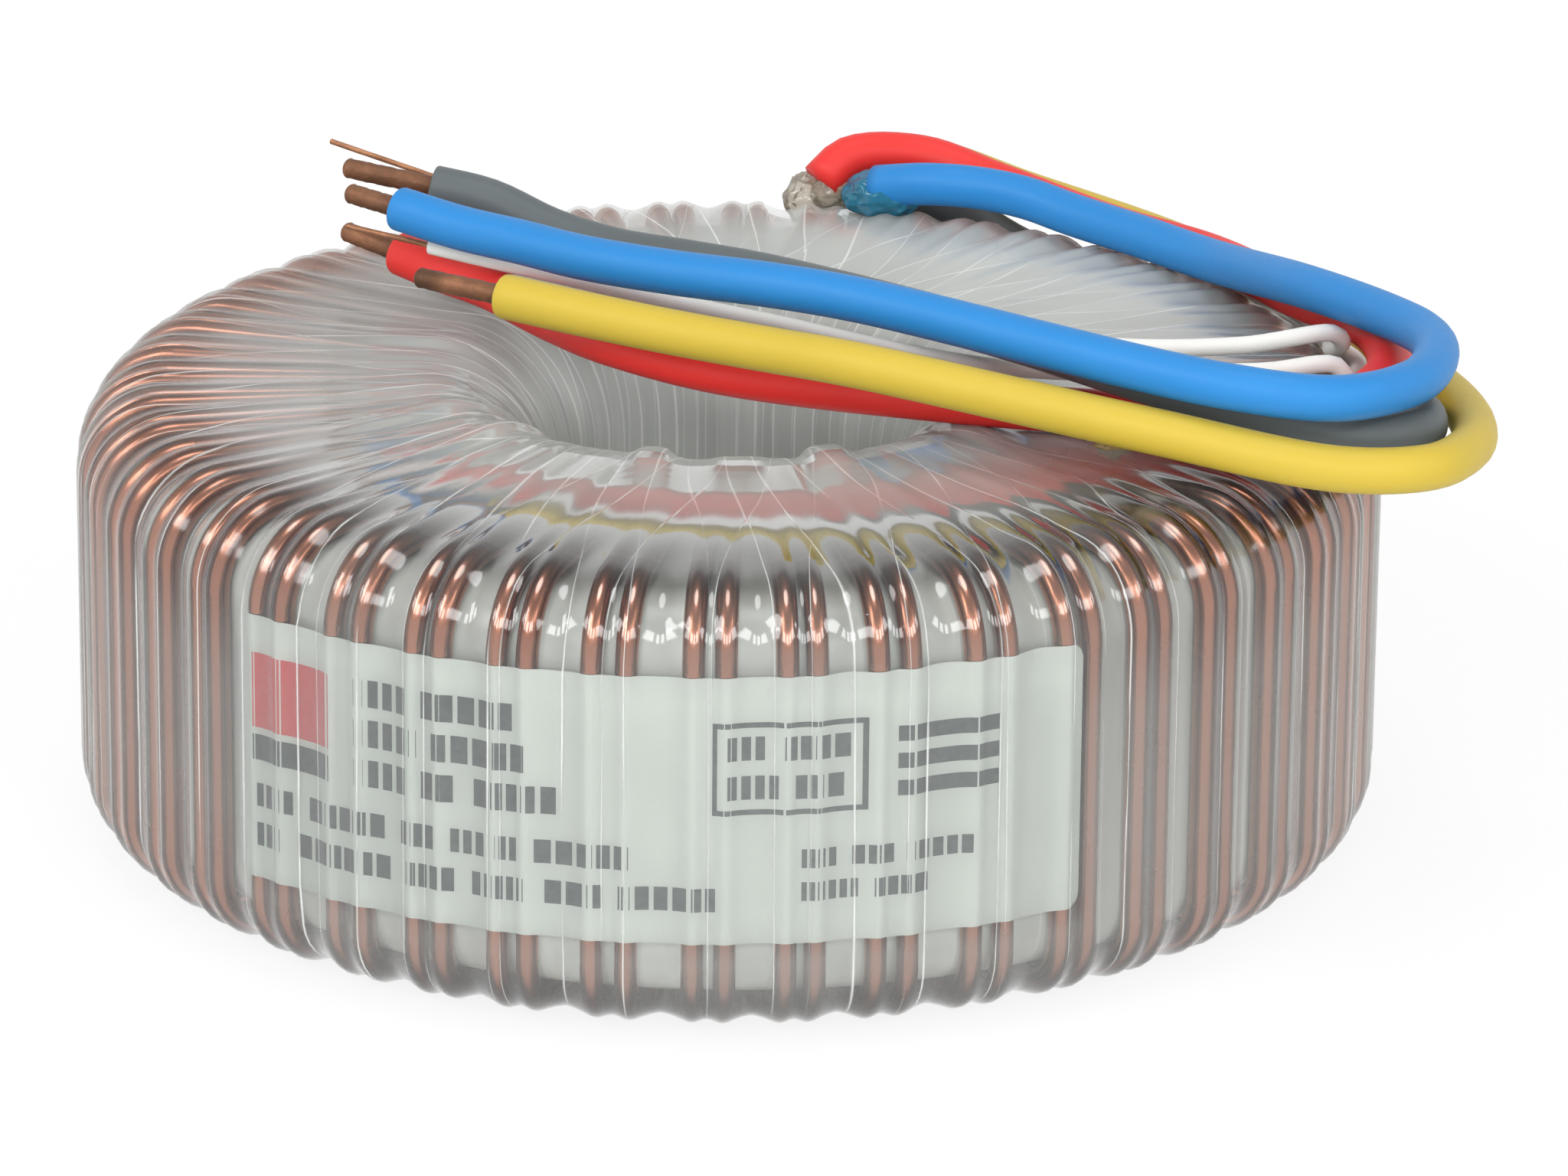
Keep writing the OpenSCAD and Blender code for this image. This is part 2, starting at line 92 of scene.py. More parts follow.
# each bare end: diameter of the wire and how far it stands out
BARE = {"red": (1.8, 6.3), "yellow": (1.8, 8.6), "blue": (1.8, 5.3), "grey": (1.8, 8),
        "white_1": (0.5, 11.3), "white_2": (0.5, 8)}

# ---------- camera ----------
SENSOR_MM, LENS_MM = 36, 202.9201
CAMERA_FALL, CAMERA_FAR, CAMERA_AIM = 0.3455, 0.75, (0, 0, 0.020)   # radians, metres
CAMERA_PAN, CAMERA_TILT, CAMERA_ROLL = 0.3593, 0.0402, 0.0071       # degrees, degrees, radians


def add_camera():
    cam = bpy.data.objects.new("camera", bpy.data.cameras.new("camera"))
    bpy.context.collection.objects.link(cam)
    bpy.context.scene.camera = cam
    cam.data.sensor_width, cam.data.lens = SENSOR_MM, LENS_MM
    look = Vector((0, math.cos(CAMERA_FALL), -math.sin(CAMERA_FALL)))
    spot = Vector(CAMERA_AIM) - look * CAMERA_FAR
    turn = (Matrix.Rotation(-math.radians(CAMERA_PAN), 4, "Y")
            @ Matrix.Rotation(-math.radians(CAMERA_TILT), 4, "X"))
    cam.matrix_world = (Matrix.Translation(spot) @ look.to_track_quat("-Z", "Y").to_matrix().to_4x4()
                        @ turn @ Matrix.Rotation(CAMERA_ROLL, 4, "Z"))
    cam.data.clip_start, cam.data.clip_end = 0.05, 20


add_camera()


# ---------- meshes and materials ----------
def add_mesh(name, verts, faces, material=None, smooth=True):
    me = bpy.data.meshes.new(name)
    me.from_pydata([tuple(map(float, v)) for v in verts], [], [tuple(map(int, f)) for f in faces])
    me.polygons.foreach_set("use_smooth", [smooth] * len(me.polygons))
    if material:
        me.materials.append(material)
    ob = bpy.data.objects.new(name, me)
    bpy.context.collection.objects.link(ob)
    return ob


class Nodes:
    """A material's node tree, with short calls for what is used here."""

    def __init__(self, name):
        self.material = bpy.data.materials.new(name)
        self.material.use_nodes = True
        self.tree = self.material.node_tree
        self.tree.nodes.clear()
        self.out = self.tree.nodes.new("ShaderNodeOutputMaterial")

    def add(self, kind, inputs=None, **settings):
        n = self.tree.nodes.new("ShaderNode" + kind)
        for k, v in settings.items():
            setattr(n, k, v)
        for k, v in (inputs or {}).items():
            self.put(n.inputs[k], v)
        return n

    def put(self, socket, value):
        if isinstance(value, bpy.types.NodeSocket):
            self.tree.links.new(value, socket)
        else:
            if socket.type == "RGBA" and len(value) == 3:
                value = (*value, 1)
            socket.default_value = value

    def math(self, operation, a, b=0.0, clamp=False):
        return self.add("Math", {0: a, 1: b}, operation=operation, use_clamp=clamp).outputs[0]

    def plus(self, a, b, clamp=False):
        return self.math("ADD", a, b, clamp)

    def minus(self, a, b, clamp=False):
        return self.math("SUBTRACT", a, b, clamp)

    def mul(self, a, b, clamp=False):
        return self.math("MULTIPLY", a, b, clamp)

    def noise(self, vector, scale, detail=3.0, rough=0.5):
        return self.add("TexNoise", {"Vector": vector, "Scale": scale, "Detail": detail,
                                     "Roughness": rough}).outputs["Fac"]

    def ramp(self, value, stops, smooth=False):
        n = self.add("ValToRGB", {"Fac": value})
        n.color_ramp.interpolation = "EASE" if smooth else "LINEAR"
        while len(n.color_ramp.elements) < len(stops):
            n.color_ramp.elements.new(0.5)
        for e, (at, c) in zip(n.color_ramp.elements, stops):
            e.position = at
            e.color = (c, c, c, 1) if isinstance(c, (int, float)) else (*c, 1)
        return n.outputs["Color"]

    def mix(self, factor, a, b):
        n = self.add("Mix", {"Factor": factor}, data_type="RGBA")
        self.put(n.inputs[6], a)
        self.put(n.inputs[7], b)
        return n.outputs[2]

    def bump(self, height, strength, distance=0.0005):
        return self.add("Bump", {"Height": height, "Strength": strength, "Distance": distance}).outputs[0]

    def coordinates(self, scale=(1, 1, 1)):
        at = self.add("TexCoord").outputs["Object"]
        return self.add("Mapping", {"Vector": at, "Scale": scale}).outputs[0]

    def uv(self):
        return self.add("UVMap", uv_map="along").outputs[0]

    def finish(self, shader):
        self.tree.links.new(shader, self.out.inputs["Surface"])
        return self.material


# ---------- where the wires and the film run ----------
def stray(i, w):
    return 0.35 * np.sin(np.radians(97 * (i % TURNS) + 40 * w))


def wall_angle(i, w):
    return FIRST + i * PITCH + w * PAIR + stray(i, w)


def hole_angle(i, w):
    return FIRST + i * PITCH + LEAN + w * PITCH / 2


def drift(r, shift, w):
    """How far a wire has turned from its upright at radius r, on its straight way to the hole."""
    r = np.maximum(r, HOLE_WIRE_R[w])
    part = np.clip((WALL_R - r) / (WALL_R - HOLE_WIRE_R[w]), 0, 1)
    return np.degrees(np.arcsin(part * HOLE_WIRE_R[w] * np.sin(np.radians(shift)) / r))


def polar(r, a, z):
    a = np.radians(a)
    return np.stack([r * np.sin(a), -r * np.cos(a), z + 0 * a], -1) * MM


def section():
    """Stations round the film's section: radius, height, outward normal, zone and hole share.
    It starts under the outer base corner and goes up the wall, over, down the hole and back."""
    rows = []

    def arc(c, n, share0, share1, zone):
        cr, cz, rad, a0 = CORNERS[c]
        for k in range(n):
            a = math.radians(a0 + 90 * k / n)
            rows.append((cr + rad * math.cos(a), cz + rad * math.sin(a), math.cos(a), math.sin(a),
                         zone, share0 + (share1 - share0) * k / n))

    def flat(p, q, n, normal, share0, share1, zone):
        for k in range(n):
            t = k / n
            rows.append((p[0] + (q[0] - p[0]) * t, p[1] + (q[1] - p[1]) * t, *normal, zone,
                         share0 + (share1 - share0) * t))

    low, top, lip, sill = CORNERS
    arc(0, 8, 0, 0, 0)
    flat((OUTER_R, low[1]), (OUTER_R, top[1]), 9, (1, 0), 0, 0, 1)
    arc(1, 10, 0, 0, 1)
    flat((top[0], top[1] + top[2]), (lip[0], HEIGHT), 16, (0, 1), 0, 0.15, 1)
    arc(2, 12, 0.15, 1, 1)
    flat((HOLE_R, lip[1]), (HOLE_R, sill[1]), 5, (-1, 0), 1, 1, 1)
    arc(3, 8, 1, 0.15, 3)
    flat((sill[0], 0), (low[0], low[1] - low[2]), 9, (0, -1), 0.15, 0, 3)
    return np.array(rows).T


LABEL_TURNS = (17 + 0.4 + 0.6 * 0.63, 27.2)
PLEATS = [(-16.6, 0.8, 1.7, 0.515, 0.045), (21.2, 0.9, 1.8, 0.515, 0.045), (-52, 0.6, 1.3, 0.50, 0.05),
          (-68, 0.5, 1.2, 0.49, 0.07), (52, 0.55, 1.4, 0.50, 0.05), (3, 0.3, 2.2, 0.51, 0.03),
          (95, 0.5, 1.5, 0.50, 0.05), (128, 0.6, 1.4, 0.50, 0.05), (-110, 0.5, 1.6, 0.50, 0.05),
          (-140, 0.5, 1.3, 0.50, 0.05)]


def ripple(a, v):
    """Slow, fixed unevenness of the film, drawn out along the wires."""
    total = 0
    for f, g, p, s in [(31, 5, 0.3, 1), (53, -8, 1.9, 0.8), (87, 13, 4.1, 0.5), (19, 17, 5.0, 0.5)]:
        total = total + s * np.sin(np.radians(f * a) + g * v + p)
    return total / 2.8


def gap_shape(x, gap, depth):
    """Depth of film at x in a gap between two wires: round over each wire, then pulled in."""
    over = WIRE_R + FILM_T
    near = np.minimum(x, gap - x)
    touch = np.minimum(0.45, gap * 0.2)
    round_depth = over - np.sqrt(over ** 2 - touch ** 2)
    slope = touch / np.sqrt(over ** 2 - touch ** 2)
    rest = np.maximum(depth - round_depth, 0.02)
    span = gap / 2 - touch
    power = np.clip(slope * span / rest, 1.2, 4)
    t = np.clip((near - touch) / span, 0, 1)
    outer = round_depth + rest * (1 - (1 - t) ** power)
    inner = over - np.sqrt(over ** 2 - np.minimum(near, touch) ** 2)
    return np.where(near < touch, inner, outer)


def film_points(turn, row, below=0.0):
    """Points of the film's face: turn counts turns, where each has wire 1 at 0 and wire 2 at 0.4."""
    r0, z0, nr, nz, zone, share, v = row
    i = np.floor(turn)
    f = turn - i
    rw = r0 - nr * COVER

    def angle(i, w):
        up = wall_angle(i, w) + drift(rw, hole_angle(i, w) - wall_angle(i, w), w)
        start = wall_angle(i, w) + drift(rw, hole_angle(i - 1, w) - wall_angle(i, w), w)
        under = wall_angle(i + 1, w) + drift(rw, hole_angle(i, w) - wall_angle(i + 1, w), w)
        return np.where(zone == 0, start, np.where(zone == 3, under, up))

    a1, a2, a3 = angle(i, 0), angle(i, 1), angle(i + 1, 0)
    paired = f < 0.4
    t = np.where(paired, f / 0.4, (f - 0.4) / 0.6)
    a = np.where(paired, a1 + (a2 - a1) * t, a2 + (a3 - a2) * t)
    gap = np.radians(np.where(paired, a2 - a1, a3 - a2)) * r0
    under_label = (np.clip(1 - np.abs(z0 - MID_Z) / 12.5, 0, 1) > 0.03) & (nr > 0.9) \
        & (turn > LABEL_TURNS[0] - 0.3) & (turn < LABEL_TURNS[1] + 0.3)
    deep = np.where(paired, 0.13 * gap, np.minimum(0.78, 0.15 * gap)) * np.where(under_label, 0.55, 1)
    crest = 0.35 * share * np.where(paired, 1 - t, t)
    depth = crest + gap_shape(t * gap, gap, deep)
    # past the shoulder the tapes cross the wires and lie flat over them, tightest at the front
    inward = np.clip((v - 0.315) / 0.06, 0, 1)
    inward = inward * inward * (3 - 2 * inward) * (v < 0.75)
    smooth = np.clip((105 - np.abs((a - 50 + 180) % 360 - 180)) / 30, 0, 1)
    depth = depth + inward * (0.80 + 0.18 * smooth) * (0.16 - 0.45 * smooth - depth) + below
    loose = 0.03 + 0.08 * inward * (1 - 0.55 * share) * (1 - 0.5 * smooth)
    depth = depth - loose * ripple(a, v)
    for at, high, wide, mid, reach in PLEATS:
        off = ((a - at + 180) % 360 - 180) - 60 * (v - mid) * (1 if at > 0 else -1)
        depth = depth - high * np.exp(-(np.radians(off) * r0 / wide) ** 4) * np.exp(-((v - mid) / reach) ** 2)
    return polar(r0 - nr * depth, a, z0 - nz * depth)


STATIONS = section()
reach = np.hypot(*np.diff(np.concatenate([STATIONS[:2], STATIONS[:2, :1]], 1), axis=1))
STATION_V = np.concatenate([[0], np.cumsum(reach)]) / reach.sum()


def film_mesh(material):
    across = np.concatenate([np.linspace(0, 0.4, 8, endpoint=False), np.linspace(0.4, 1, 12, endpoint=False)])
    turn = (np.arange(TURNS)[:, None] + across).ravel()
    k_all, j_all, step = len(turn), STATIONS.shape[1], len(across)
    grid = np.zeros((k_all, j_all, 3))
    for j in range(j_all):
        grid[:, j] = film_points(turn, (*STATIONS[:, j], STATION_V[j]))
    faces, uvs = [], []
    u = np.append(turn, TURNS) / TURNS
    for k in range(k_all):
        for j in range(j_all):
            quad, spots = [], []
            for dk, dj in ((0, 0), (1, 0), (1, 1), (0, 1)):
                kk, jj = k + dk, j + dj
                spots.append((u[kk], STATION_V[jj]))
                if jj == j_all:
                    kk, jj = kk + step, 0
                quad.append(kk % k_all * j_all + jj)
            if is_slot(turn[k], j):
                continue
            faces.append(quad)
            uvs += spots
    ob = add_mesh("outer_film_skin", grid.reshape(-1, 3), faces, material=material)
    ob.data.uv_layers.new(name="along").data.foreach_set("uv", np.array(uvs, dtype=np.float32).ravel())
    return ob


def is_slot(turn, j):
    """The slot in the back that the leads come out of."""
    return (turn > TURNS - 0.95 or turn < 0.95) and abs(STATION_V[j] - 0.297) < 0.016


def tape_edges(n, u, v, ring, count, slant, seed, width):
    """Edges of overlapping tapes: a mask of thin, broken lines, and a value for each tape."""
    lean = n.ramp(v, [(0.27, 0.0), (0.60, 1.0)], smooth=True)
    spot = n.add("CombineXYZ", {0: u, 1: n.mul(v, 0.006), 2: seed}).outputs[0]
    jitter = n.add("TexNoise", {"Vector": spot, "Scale": 34.0, "Detail": 2.0}).outputs["Fac"]
    t = n.plus(n.mul(u, count), n.mul(lean, slant))
    t = n.plus(t, n.mul(jitter, 0.8))
    near = n.math("PINGPONG", t, 0.5)
    mm = n.math("DIVIDE", n.mul(near, ring), count)
    line = n.minus(1.0, n.math("DIVIDE", mm, width), clamp=True)
    cell = n.add("TexWhiteNoise", {"W": n.plus(n.math("ROUND", n.minus(t, 0.5)), seed)},
                 noise_dimensions="1D").outputs["Value"]
    along = n.add("CombineXYZ", {0: n.mul(cell, 40.0), 1: n.mul(v, 9.0), 2: seed}).outputs[0]
    broken = n.add("TexNoise", {"Vector": along, "Scale": 1.0}).outputs["Fac"]
    return n.mul(line, n.mul(n.minus(broken, 0.38), 6.0, clamp=True)), cell


def film_haze(n, u, v, aside, back, x, tapes):
    """How milky the film is: clear at the rim, hazy over the top and in the hole."""
    hole = [(0.60, 0.90), (0.75, 0.88), (0.84, 0.72), (0.93, 0.40)]
    base = [(0, 0.22), (0.03, 0.10)]
    front = n.ramp(v, base + [(0.07, 0.26), (0.12, 0.32), (0.20, 0.28), (0.245, 0.10), (0.30, 0.03),
                              (0.335, 0.16), (0.36, 0.48), (0.39, 0.74), (0.43, 0.88), (0.50, 0.92)] + hole)
    side = n.ramp(v, base + [(0.07, 0.20), (0.12, 0.24), (0.20, 0.21), (0.245, 0.08), (0.30, 0.03),
                             (0.335, 0.10), (0.37, 0.28), (0.42, 0.46), (0.47, 0.66), (0.54, 0.84)] + hole)
    haze = n.mix(aside, front, side)
    under_leads = n.mul(back, n.mul(n.plus(x, 0.005), 40.0, clamp=True))
    thick = n.ramp(v, [(0.27, 0.05), (0.30, 0.50), (0.33, 0.85), (0.37, 0.95), (0.60, 0.92)] + hole[1:])
    haze = n.mix(under_leads, haze, thick)
    cloud = n.mul(n.minus(n.noise(n.coordinates((60, 60, 60)), 1.0, 3.0), 0.5), 0.16)
    haze = n.plus(haze, n.plus(n.mul(n.minus(tapes, 1.0), 0.08), cloud), clamp=True)
    # the film is clearer where it is stretched over the label
    zone = 1.0
    for value, edge, rise in [(u, 0.400, 200.0), (u, 0.622, -200.0), (v, 0.075, 80.0), (v, 0.242, -80.0)]:
        zone = n.mul(zone, n.mul(n.minus(value, edge), rise, clamp=True))
    return n.mul(haze, n.minus(1.0, n.mul(zone, 0.6))), under_leads


def glue_stain(n, at):
    """A patchy stain round the drop of glue."""
    far = n.add("VectorMath", {0: at, 1: (0.0325, -0.0275, 0.0385)}, operation="DISTANCE").outputs["Value"]
    grain = n.noise(n.coordinates((300, 300, 300)), 1.0, 4.0)
    return n.mul(n.minus(1.0, n.math("DIVIDE", far, 0.009), clamp=True),
                 n.mul(n.minus(grain, 0.40), 4.0, clamp=True))


def sunk_normal(n, r):
    """The tapes sink a little from the shoulder to the hole, and more near the hole."""
    rr = n.math("MINIMUM", n.math("MAXIMUM", r, 0.022), 0.047)
    outer = n.math("MAXIMUM", n.minus(rr, 0.031), 0.0)
    inner = n.math("MAXIMUM", n.minus(0.033, rr), 0.0)
    dish = n.minus(n.mul(rr, 0.15), n.mul(n.mul(outer, outer), 3.6))
    dish = n.minus(dish, n.mul(n.mul(inner, inner), 10.0))
    return n.bump(dish, 1.0, 1.0)


def film_material():
    n = Nodes("clear film")
    uv = n.add("SeparateXYZ", {0: n.uv()})
    u, v = uv.outputs[0], uv.outputs[1]
    at = n.add("TexCoord").outputs["Object"]
    flat = n.add("SeparateXYZ", {0: at})
    x, y = flat.outputs[0], flat.outputs[1]
    r = n.math("SQRT", n.plus(n.math("POWER", x, 2), n.math("POWER", y, 2)))
    ring = n.mul(r, 2000 * math.pi)
    aside = n.mul(n.minus(n.math("ABSOLUTE", x), 0.020), 50.0, clamp=True)
    back = n.mul(n.plus(y, 0.025), 17.0, clamp=True)

    line1, cell1 = tape_edges(n, u, v, ring, 58.0, 1.5, 0.0, 0.15)
    line2, cell2 = tape_edges(n, u, v, ring, 41.0, -1.2, 7.0, 0.11)
    lines = n.mul(n.math("MAXIMUM", line1, n.mul(line2, 0.8)), 0.85)
    haze, under_leads = film_haze(n, u, v, aside, back, x, n.plus(cell1, cell2))
    stain = glue_stain(n, at)

    # painted light: the film's milky colour is made lighter in the hole (from v 0.6 on) and, by 0.08, under
    # the leads at the back right, lifting the shade that falls there
    milky_tone_painted_light = n.ramp(v, [(0, 0.42), (0.25, 0.42), (0.36, 0.38), (0.50, 0.39), (0.60, 0.50), (0.80, 0.52)])
    milky_tone_painted_light = n.plus(milky_tone_painted_light, n.mul(under_leads, 0.08))
    tint = n.add("VectorMath", {0: milky_tone_painted_light, 1: (0.985, 1.02, 0.97)}, operation="MULTIPLY").outputs[0]
    colour = n.mix(lines, tint, (0.80, 0.81, 0.79))
    colour = n.mix(stain, colour, (0.42, 0.30, 0.13))
    alpha = n.math("MAXIMUM", n.math("MAXIMUM", haze, lines), n.mul(stain, 0.75))
    clear = n.add("BsdfTransparent", {"Color": (0.97, 0.98, 0.975, 1)}).outputs[0]
    milky = n.add("BsdfDiffuse", {"Color": colour}).outputs[0]
    body = n.add("MixShader", {0: alpha, 1: clear, 2: milky}).outputs[0]

    pulled = n.add("CombineXYZ", {0: n.mul(u, 260.0), 1: n.mul(v, 10.0)}).outputs[0]
    streak = n.add("TexNoise", {"Vector": pulled, "Scale": 1.0, "Detail": 1.0}).outputs["Fac"]
    height = n.plus(n.mul(streak, 0.10), n.mul(n.plus(cell1, lines), 0.25))
    normal = n.add("Bump", {"Height": height, "Strength": 0.15, "Distance": 0.0003,
                            "Normal": sunk_normal(n, r)}).outputs[0]
    blur = n.plus(n.plus(0.08, n.mul(aside, 0.08)), n.mul(back, 0.18))
    gloss = n.add("BsdfAnisotropic", {"Color": (1, 1, 1, 1), "Roughness": blur, "Normal": normal}).outputs[0]
    # two layers of tape mirror more than one; less at the back and near the hole
    one = n.add("Fresnel", {"IOR": 1.5, "Normal": normal}).outputs[0]
    seen = n.math("DIVIDE", n.mul(one, 2.0), n.plus(one, 1.0))
    seen = n.mul(seen, n.minus(1.0, n.mul(back, 0.5)))
    at_hole = n.mul(n.minus(0.040, r), 90.0, clamp=True)
    seen = n.mul(seen, n.minus(1.0, n.mul(at_hole, 0.45)))
    return n.finish(n.add("MixShader", {0: seen, 1: body, 2: gloss}).outputs[0])


def copper_material(name, colour, dull):
    n = Nodes(name)
    at = n.coordinates((400, 400, 400))
    grain = n.noise(at, 1.0, 4.0)
    slow = n.noise(n.coordinates((45, 45, 45)), 1.0, 2.0)
    c = n.mix(n.mul(slow, 0.55), colour, tuple(0.55 * x for x in colour))
    rough = n.plus(dull, n.mul(grain, 0.12))
    b = n.add("BsdfPrincipled", {"Base Color": c, "Metallic": 1.0, "Roughness": rough, "Coat Weight": 0.25,
              "Coat Roughness": 0.12, "Normal": n.bump(grain, 0.08, 0.0002)})
    return n.finish(b.outputs[0])


def milky_material():
    n = Nodes("milky barrier film")
    at = n.coordinates((1, 1, 1))
    flat = n.add("SeparateXYZ", {0: at})
    turn = n.math("ARCTAN2", flat.outputs[0], flat.outputs[1])
    wraps = n.math("PINGPONG", n.mul(turn, 14.0), 0.5)
    edge = n.minus(1.0, n.mul(wraps, 22.0), clamp=True)
    patch = n.noise(n.coordinates((120, 120, 50)), 1.0, 3.0)
    c = n.mix(patch, (0.50, 0.53, 0.50), (0.72, 0.76, 0.72))
    c = n.mix(n.mul(edge, 0.5), c, (0.85, 0.86, 0.85))
    # painted light: the barrier's colour is made lighter towards the bottom and darker towards the top, by
    # height
    low = n.minus(1.42, n.mul(flat.outputs[2], 15.0))
    c = n.add("VectorMath", {0: c, 1: n.add("CombineXYZ", {0: low, 1: low, 2: low}).outputs[0]},
              operation="MULTIPLY").outputs[0]
    b = n.add("BsdfPrincipled", {"Base Color": c, "Roughness": 0.28, "Specular IOR Level": 0.6,
              "Normal": n.bump(patch, 0.25, 0.0005)})
    return n.finish(b.outputs[0])


def plain_hidden_material(name, colour, metallic, rough):
    n = Nodes(name)
    grain = n.noise(n.coordinates((300, 300, 300)), 1.0, 3.0)
    c = n.mix(grain, colour, tuple(0.75 * x for x in colour))
    b = n.add("BsdfPrincipled", {"Base Color": c, "Metallic": metallic, "Roughness": rough,
              "Normal": n.bump(grain, 0.1, 0.0002)})
    return n.finish(b.outputs[0])


def sleeve_material(name, colour, worn):
    n = Nodes("sleeve " + name)
    cloud = n.noise(n.coordinates((90, 90, 90)), 1.0, 3.0)
    fine = n.noise(n.coordinates((1500, 1500, 1500)), 1.0, 3.0)
    c = n.mix(n.mul(cloud, 0.6), colour, worn)
    rough = n.plus(0.42, n.mul(fine, 0.16))
    b = n.add("BsdfPrincipled", {"Base Color": c, "Roughness": rough, "Specular IOR Level": 0.42,
              "Normal": n.bump(fine, 0.10, 0.0001)})
    return n.finish(b.outputs[0])


def bare_material(name, colour, burnt):
    n = Nodes(name)
    along = n.noise(n.coordinates((900, 900, 900)), 1.0, 4.0, 0.65)
    cloud = n.noise(n.coordinates((260, 260, 260)), 1.0, 3.0)
    c = n.mix(n.mul(n.minus(cloud, 0.35), 3.0, clamp=True), burnt, colour)
    rough = n.plus(0.38, n.mul(along, 0.30))
    b = n.add("BsdfPrincipled", {"Base Color": c, "Metallic": 0.75, "Roughness": rough,
              "Normal": n.bump(along, 0.5, 0.0003)})
    return n.finish(b.outputs[0])


# ---------- leads ----------
def smooth_path(points, step=1.0):
    """A smooth curve through the route's points, with its last run straight on."""
    p = np.array(points, float)
    p = np.vstack([2 * p[0] - p[1], p, 2 * p[-1] - p[-2]])
    knots = np.concatenate([[0], np.cumsum(np.linalg.norm(np.diff(p, axis=0), axis=1) ** 0.5)])
    line = []
    for i in range(1, len(p) - 2):
        n = max(2, int(np.linalg.norm(p[i + 1] - p[i]) / step))
        for t in np.linspace(knots[i], knots[i + 1], n, endpoint=i == len(p) - 3):
            k = knots[i - 1:i + 3]
            a = [((k[j + 1] - t) * p[i - 1 + j] + (t - k[j]) * p[i + j]) / (k[j + 1] - k[j])
                 for j in range(3)]
            b = [((k[j + 2] - t) * a[j] + (t - k[j]) * a[j + 1]) / (k[j + 2] - k[j]) for j in range(2)]
            line.append(((k[2] - t) * b[0] + (t - k[1]) * b[1]) / (k[2] - k[1]))
    return np.array(line)


def tube(name, rings, material, sides=24):
    """A closed bar of round sections: each ring is (centre, radius), in millimetres."""
    centres = np.array([c for c, r in rings], float)
    verts, side = [], None
    for i, (c, r) in enumerate(rings):
        along = centres[min(i + 1, len(rings) - 1)] - centres[max(i - 1, 0)]
        if np.linalg.norm(along) < 1e-9 or r < 0:
            along = last
        along = along / np.linalg.norm(along)
        if side is not None and np.dot(along, last) < 0:
            along = -along
        last = along
        side = np.cross(along, [0, 0, 1]) if side is None else side
        side = side - along * np.dot(side, along)
        side /= np.linalg.norm(side)
        up = np.cross(side, along)
        for k in range(sides):
            a = 2 * math.pi * k / sides
            verts.append((c + abs(r) * (side * math.cos(a) + up * math.sin(a))) * MM)
    faces = [list(range(sides))[::-1]]
    for i in range(len(rings) - 1):
        for k in range(sides):
            a, b = i * sides + k, i * sides + (k + 1) % sides
            faces.append((a, b, b + sides, a + sides))
    faces.append(list(range((len(rings) - 1) * sides, len(rings) * sides)))
    return add_mesh(name, verts, faces, material=material)


def add_lead(colour, material, bare):
    d, points = ROUTES[colour]
    r = d / 2
    path = smooth_path(points)
    end = path[-1]
    ahead = (path[-1] - path[-2]) / np.linalg.norm(path[-1] - path[-2])
    rings = [(p, r) for p in path[:-1]]
    rings += [(end - ahead * 0.12 * r, r * 0.995), (end - ahead * 0.03 * r, r * 0.96), (end, r * 0.90)]
    wire_d, reach = BARE[colour]
    mouth = wire_d / 2 + 0.08 * r
    rings += [(end + ahead * 0.001, mouth), (end - ahead * 0.03 * r, mouth * 0.97),
              (end - ahead * 0.9, mouth * 0.96)]
    ob = tube("sleeve_" + colour, rings, material, 24 if d > 2 else 16)
    # the bare end: scraped, a little uneven, with a rounded tip
    w = wire_d / 2
    side = np.cross(ahead, [0, 0, 1.0])
    bar = []
    for k, t in enumerate(np.linspace(-1.2, reach - w * 0.6, 26)):
        uneven = 0.02 * w * (math.sin(2.3 * k) + math.sin(5.1 * k + 1))
        bar.append((end + ahead * t + side * 0.07 * w * math.sin(0.2 * k), w * 0.96 + uneven))
    for a in (25, 50, 70, 84):
        a = math.radians(a)
        tip = end + ahead * (reach - w * 0.6 + w * 0.58 * math.sin(a)) + side * 0.07 * w * math.sin(5)
        bar.append((tip, w * math.cos(a) * 0.95))
    rod = tube("bare_wire_" + colour, bar, bare, 20 if d > 2 else 10)
    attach(ob, "root")
    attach(rod, "root")
    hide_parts("lead_" + colour)
    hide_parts("wire_end_" + colour)
    return ob


bare = bare_material("scraped copper", (0.30, 0.14, 0.075), (0.13, 0.065, 0.038))
bare_thin = bare_material("thin bare copper", (0.52, 0.26, 0.14), (0.30, 0.14, 0.08))
add_lead("red", sleeve_material("red", (0.68, 0.028, 0.022), (0.60, 0.02, 0.018)), bare)
add_lead("yellow", sleeve_material("yellow", (0.52, 0.38, 0.037), (0.45, 0.33, 0.032)), bare)
add_lead("blue", sleeve_material("blue", (0.014, 0.20, 0.52), (0.01, 0.165, 0.44)), bare)
add_lead("grey", sleeve_material("grey", (0.10, 0.118, 0.122), (0.08, 0.092, 0.096)), bare)
white = sleeve_material("white", (0.74, 0.74, 0.71), (0.66, 0.66, 0.63))
add_lead("white_1", white, bare_thin)
add_lead("white_2", white, bare_thin)

# ---------- windings, core and films ----------
for node, material in {
        "core": plain_hidden_material("silicon steel", (0.42, 0.42, 0.44), 1.0, 0.4),
        "core_wrap": plain_hidden_material("core tape", (0.80, 0.78, 0.70), 0.0, 0.7),
        "primary_winding": copper_material("primary copper", (0.55, 0.22, 0.12), 0.3),
        "primary_barrier_film": milky_material(),
        "secondary_winding_1": copper_material("copper wire 1", (0.50, 0.205, 0.125), 0.20),
        "secondary_winding_2": copper_material("copper wire 2", (0.45, 0.18, 0.11), 0.20)}.items():
    nodes[node].data.materials.clear()
    nodes[node].data.materials.append(material)

film = film_mesh(film_material())
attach(film, "root")
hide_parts("outer_film")


# ---------- label ----------
LABEL_Z, LABEL_H, LABEL_RISE = 8.4, 22.6, 0.9
LABEL_CORNER = 1.4
PAPER_BELOW, INK_BELOW = 0.25, 0.235   # how deep under the film's face they lie


